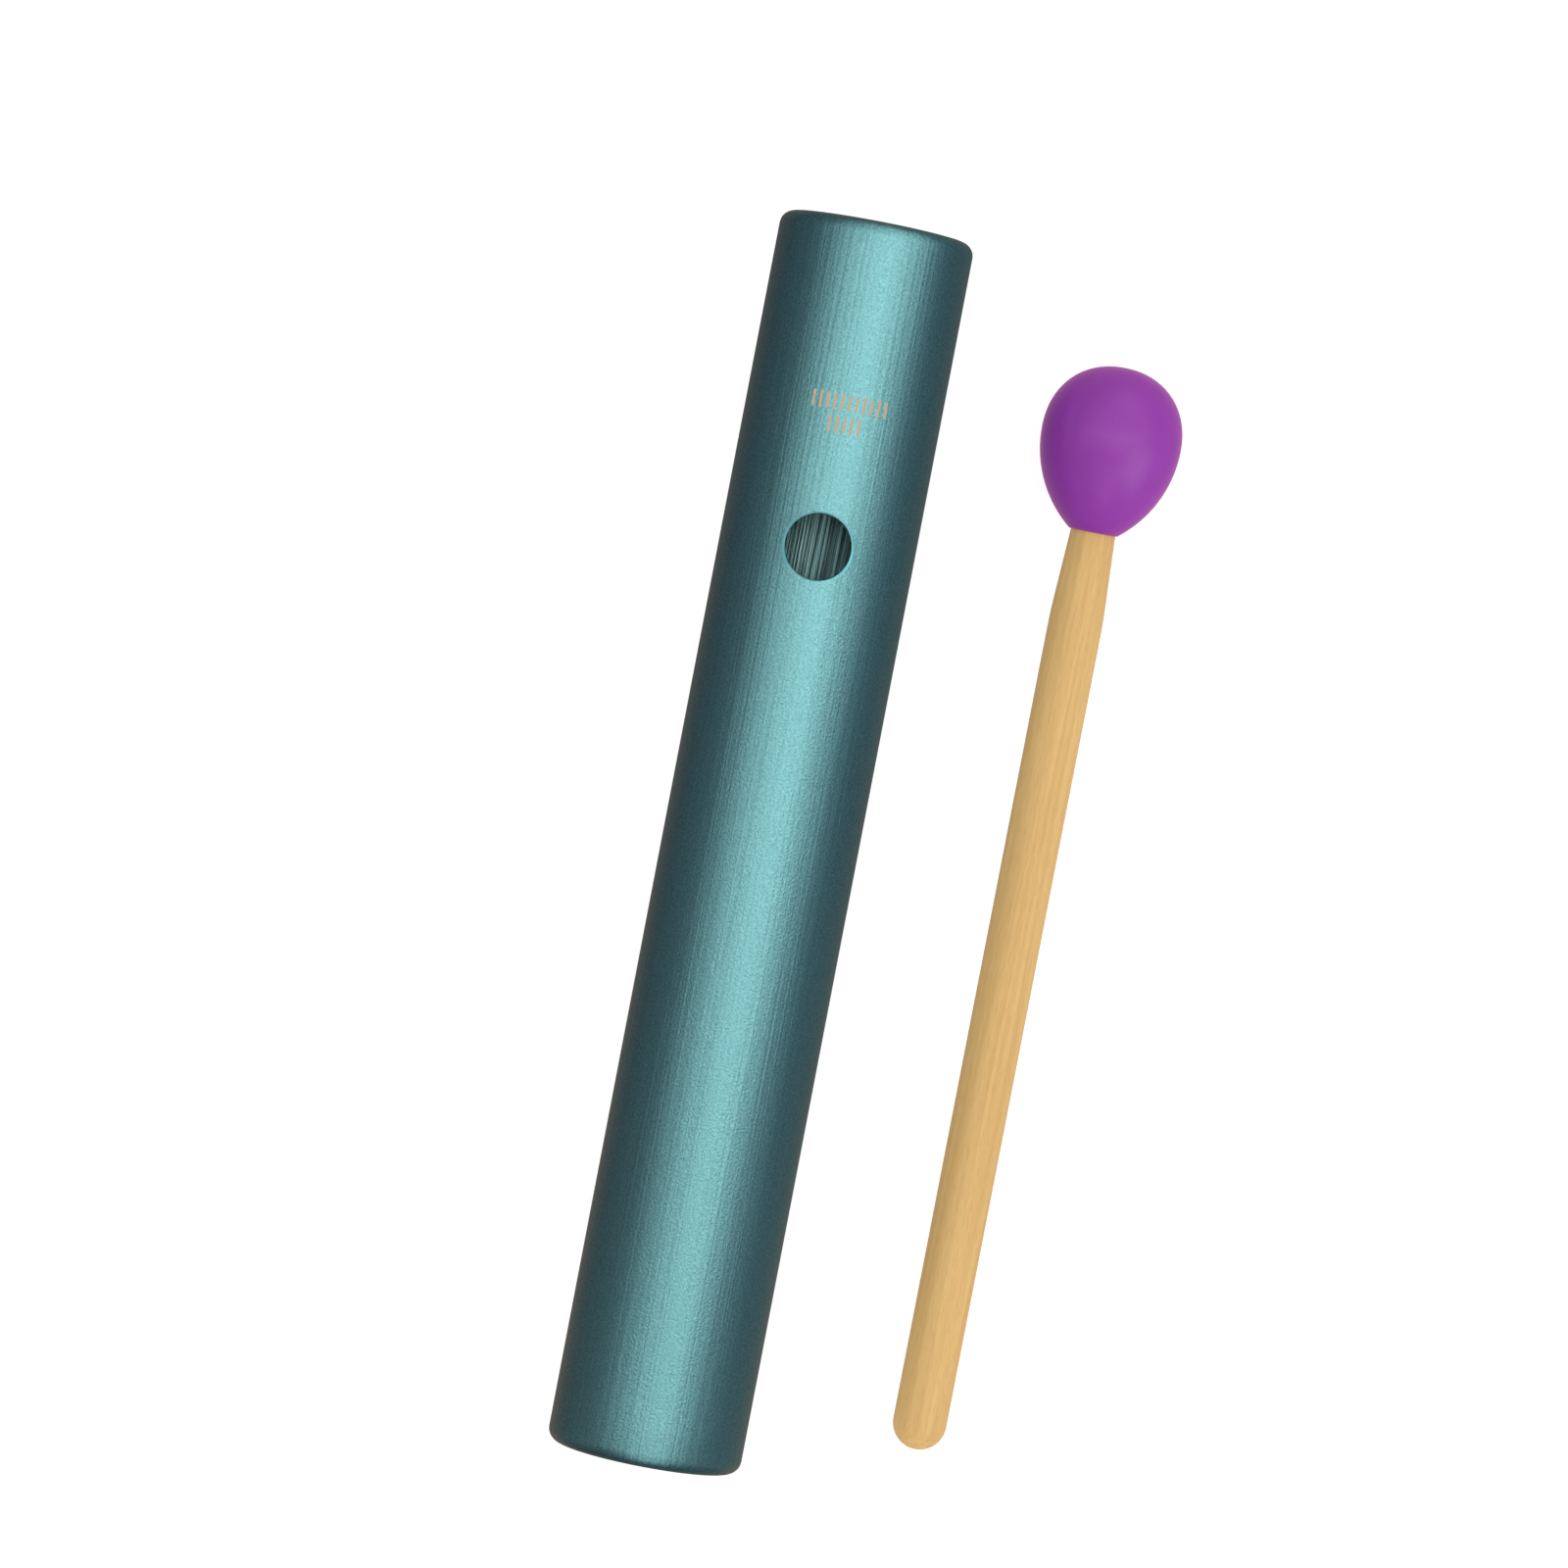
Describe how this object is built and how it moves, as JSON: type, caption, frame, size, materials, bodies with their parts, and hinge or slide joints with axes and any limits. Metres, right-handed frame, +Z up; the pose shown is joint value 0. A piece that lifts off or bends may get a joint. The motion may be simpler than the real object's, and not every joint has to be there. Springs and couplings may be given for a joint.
{
  "type": "wah-wah tube",
  "caption": "Closed metal tube with a finger hole in its side, struck with the rubber-headed wooden mallet that lies beside it.",
  "frame": {"origin": "middle of the underside of the bounding box, on the surface that the tube and the mallet lie on", "axes": "+X along the tube to the end with the finger hole, +Z up out of the finger hole, the mallet on the -Y side, parallel to the tube"},
  "size_m": [0.23, 0.0804, 0.036],
  "materials": {
    "tube": "bead-blasted and anodised teal, satin",
    "plug": "turned and anodised teal, satin",
    "handle": "turned beech, sanded and lightly waxed",
    "head": "moulded matte rubber, purple"
  },
  "bodies": {
    "tube": {"tube_body": "tube", "upper_end_plug": "plug", "lower_end_plug": "plug"},
    "mallet": {"mallet_handle": "handle", "mallet_head": "head"}
  },
  "joints": [
    {"name": "mallet_lift", "type": "slide", "parent": "tube", "child": "mallet", "axis": [0, 0, 1], "range_m": [0, 0.08]}
  ]
}
